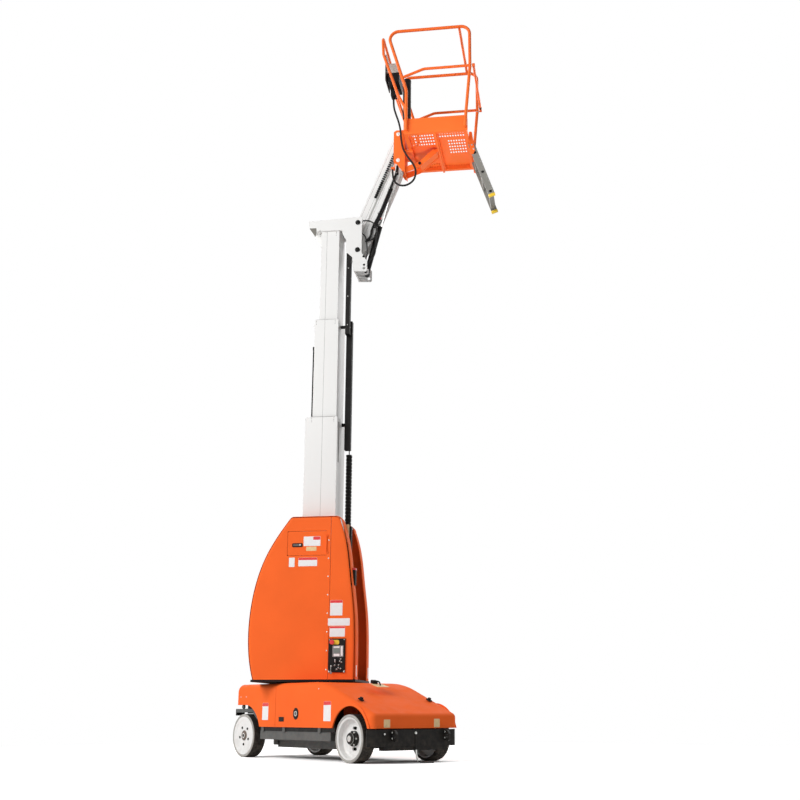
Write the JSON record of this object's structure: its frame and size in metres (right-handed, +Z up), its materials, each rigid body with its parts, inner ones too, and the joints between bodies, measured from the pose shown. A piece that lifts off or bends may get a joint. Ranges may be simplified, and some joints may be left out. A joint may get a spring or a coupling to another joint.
{
  "type": "vertical mast lift",
  "caption": "Four-wheel mast lift with a slewing tower, a telescopic mast, a parallel-arm jib and a railed platform with a ladder.",
  "frame": {"origin": "on the floor, under the middle of the whole machine's bounding box as it stands, mast raised and turned", "axes": "+X towards the chassis nose, +Y to its left, +Z up"},
  "size_m": [2.2114, 1.9995, 7.151],
  "materials": {
    "black_plastic": "matte",
    "black_steel": "satin",
    "chrome_rod": "polished",
    "dark_steel": "satin",
    "frame_grey": "satin",
    "grey_plastic": "matte",
    "iron": "matte",
    "ladder_aluminium": "brushed",
    "orange_moulding": "gloss",
    "orange_paint": "satin",
    "slide_plastic": "matte",
    "tyre_rubber": "matte",
    "wheel_white": "satin",
    "white_paint": "satin"
  },
  "bodies": {
    "chassis": {"chassis_frame": "frame_grey", "nose_bumper": "frame_grey", "nose_axle": "frame_grey", "tail_axle": "frame_grey", "steer_barrel": "frame_grey", "tail_cover": "orange_moulding", "nose_cover": "orange_moulding", "slewing_bearing": "dark_steel"},
    "steer_link": {"steer_rod": "chrome_rod"},
    "near_knuckle": {"tail_near_knuckle": "frame_grey"},
    "far_knuckle": {"tail_far_knuckle": "frame_grey"},
    "tail_near_wheel": {"tail_near_tyre": "tyre_rubber", "tail_near_rim": "wheel_white"},
    "tail_far_wheel": {"tail_far_tyre": "tyre_rubber", "tail_far_rim": "wheel_white"},
    "nose_near_wheel": {"nose_near_tyre": "tyre_rubber", "nose_near_rim": "wheel_white", "nose_near_hub": "black_steel"},
    "nose_far_wheel": {"nose_far_tyre": "tyre_rubber", "nose_far_rim": "wheel_white", "nose_far_hub": "black_steel"},
    "turntable": {"turntable_plate": "black_steel", "near_side_cover": "orange_moulding", "far_side_cover": "orange_moulding", "front_strips": "orange_moulding", "counterweight": "iron", "mast_base": "white_paint", "slide_pads_base": "slide_plastic", "base_trunk": "black_plastic", "control_panel": "black_plastic"},
    "door": {"access_door": "orange_moulding"},
    "stage_1": {"mast_stage_1": "white_paint", "slide_pads_1": "slide_plastic", "lower_chain": "black_plastic"},
    "stage_2": {"mast_stage_2": "white_paint", "slide_pads_2": "slide_plastic", "middle_trunk": "black_plastic", "leaf_chain": "dark_steel"},
    "stage_3": {"mast_stage_3": "white_paint", "mast_head": "white_paint", "head_trunk": "black_plastic", "head_hose": "black_plastic"},
    "upper_arm": {"jib_upper_arm": "white_paint", "jib_chain": "black_plastic"},
    "lower_arm": {"jib_lower_arm": "white_paint"},
    "barrel": {"jib_barrel": "white_paint"},
    "ram": {"jib_ram": "chrome_rod"},
    "platform": {"platform_bracket": "orange_paint", "floor_frame": "orange_paint", "platform_floor": "orange_paint", "toe_boards": "orange_paint", "near_rail": "orange_paint", "far_rail": "orange_paint", "end_rails": "orange_paint", "console": "grey_plastic", "document_tube": "black_plastic", "ladder": "ladder_aluminium", "ladder_brackets": "orange_paint", "jib_cable": "black_plastic"},
    "entry_bar": {"entry_bar": "orange_paint"}
  },
  "joints": [
    {"name": "nose_near_spin", "type": "hinge", "parent": "chassis", "child": "nose_near_wheel", "pos_m": [0.74, -0.744, 0.1905], "axis": [0, 1, 0], "continuous": true},
    {"name": "nose_far_spin", "type": "hinge", "parent": "chassis", "child": "nose_far_wheel", "pos_m": [0.74, 0.056, 0.1905], "axis": [0, 1, 0], "continuous": true},
    {"name": "steer_near", "type": "hinge", "parent": "chassis", "child": "near_knuckle", "pos_m": [-0.915, -0.64, 0.1905], "axis": [0, 0, 1], "range_deg": [-35, 35]},
    {"name": "steer_far", "type": "hinge", "parent": "chassis", "child": "far_knuckle", "pos_m": [-0.915, -0.048, 0.1905], "axis": [0, 0, 1], "range_deg": [-35, 35]},
    {"name": "steer_slide", "type": "slide", "parent": "chassis", "child": "steer_link", "axis": [0, 1, 0], "range_m": [-0.0917, 0.0917]},
    {"name": "tail_near_spin", "type": "hinge", "parent": "near_knuckle", "child": "tail_near_wheel", "pos_m": [-0.915, -0.744, 0.1905], "axis": [0, 1, 0], "continuous": true},
    {"name": "tail_far_spin", "type": "hinge", "parent": "far_knuckle", "child": "tail_far_wheel", "pos_m": [-0.915, 0.056, 0.1905], "axis": [0, 1, 0], "continuous": true},
    {"name": "slew", "type": "hinge", "parent": "chassis", "child": "turntable", "pos_m": [-0.356, -0.344, 0.656], "axis": [0, 0, 1], "range_deg": [-217.6, 132.4]},
    {"name": "door_swing", "type": "hinge", "parent": "turntable", "child": "door", "pos_m": [-0.04242, -0.52841, 1.891], "axis": [0, 0, 1], "range_deg": [0, 100]},
    {"name": "mast_lift", "type": "slide", "parent": "turntable", "child": "stage_1", "axis": [0, 0, 1], "range_m": [-0.94, 0]},
    {"name": "stage_2_lift", "type": "slide", "parent": "stage_1", "child": "stage_2", "axis": [0, 0, 1], "range_m": [-0.94, 0]},
    {"name": "stage_3_lift", "type": "slide", "parent": "stage_2", "child": "stage_3", "axis": [0, 0, 1], "range_m": [-0.94, 0]},
    {"name": "jib_raise", "type": "hinge", "parent": "stage_3", "child": "upper_arm", "pos_m": [-0.13296, -0.13891, 5.163], "axis": [0.6769, -0.7361, 0], "range_deg": [-128, 2]},
    {"name": "lower_arm_raise", "type": "hinge", "parent": "stage_3", "child": "lower_arm", "pos_m": [-0.13296, -0.13891, 4.866], "axis": [0.6769, -0.7361, 0], "range_deg": [-128, 2]},
    {"name": "platform_level", "type": "hinge", "parent": "upper_arm", "child": "platform", "pos_m": [0.1596, 0.13012, 6.14674], "axis": [0.6769, -0.7361, 0], "range_deg": [-2, 128]},
    {"name": "barrel_swing", "type": "hinge", "parent": "stage_3", "child": "barrel", "pos_m": [-0.08217, -0.0922, 4.665], "axis": [0.6769, -0.7361, 0], "range_deg": [-132.69, 2.07]},
    {"name": "ram_slide", "type": "slide", "parent": "barrel", "child": "ram", "axis": [0.1822, 0.1676, 0.9689], "range_m": [-0.37695, 0.00589]},
    {"name": "entry_bar_lift", "type": "hinge", "parent": "platform", "child": "entry_bar", "pos_m": [1.04342, 0.37089, 6.678], "axis": [0.7361, 0.6769, 0], "range_deg": [0, 85]}
  ],
  "couplings": [
    {"joint": "steer_far", "follows": "steer_near", "ratio": 1},
    {"joint": "steer_slide", "follows": "steer_near", "m_per_rad": -0.15},
    {"joint": "stage_2_lift", "follows": "mast_lift", "ratio": 1},
    {"joint": "stage_3_lift", "follows": "mast_lift", "ratio": 1},
    {"joint": "lower_arm_raise", "follows": "jib_raise", "ratio": 1},
    {"joint": "platform_level", "follows": "jib_raise", "ratio": -1},
    {"joint": "barrel_swing", "follows": "jib_raise", "ratio": 1.0366},
    {"joint": "ram_slide", "follows": "jib_raise", "m_per_rad": 0.16873}
  ]
}
